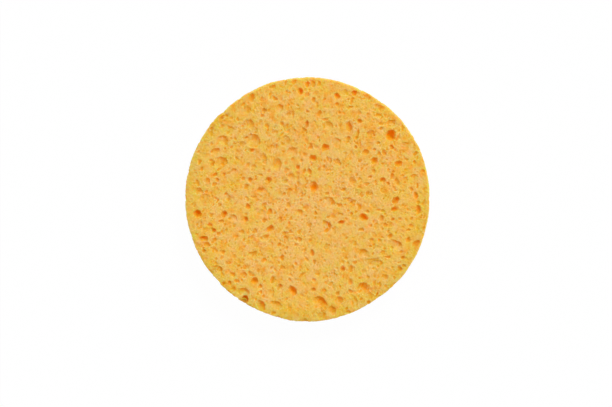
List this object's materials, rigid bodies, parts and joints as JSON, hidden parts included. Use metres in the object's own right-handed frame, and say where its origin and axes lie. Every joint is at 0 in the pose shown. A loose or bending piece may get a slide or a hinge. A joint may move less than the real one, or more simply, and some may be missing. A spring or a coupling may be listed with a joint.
{
  "type": "face sponge",
  "caption": "Round flat face sponge punched from open-pored cellulose foam, for washing and wiping the face.",
  "frame": {"origin": "middle of the flat underside, which the sponge rests on", "axes": "+Z out of the working face, +Y towards the top of the face as it is pictured from above, +X to its right"},
  "size_m": [0.076, 0.076, 0.01],
  "materials": {
    "cellulose_foam": "matte open-pored foam, warm golden orange, deeper orange inside the pores"
  },
  "bodies": {
    "root": {"sponge": "cellulose_foam"}
  },
  "joints": []
}
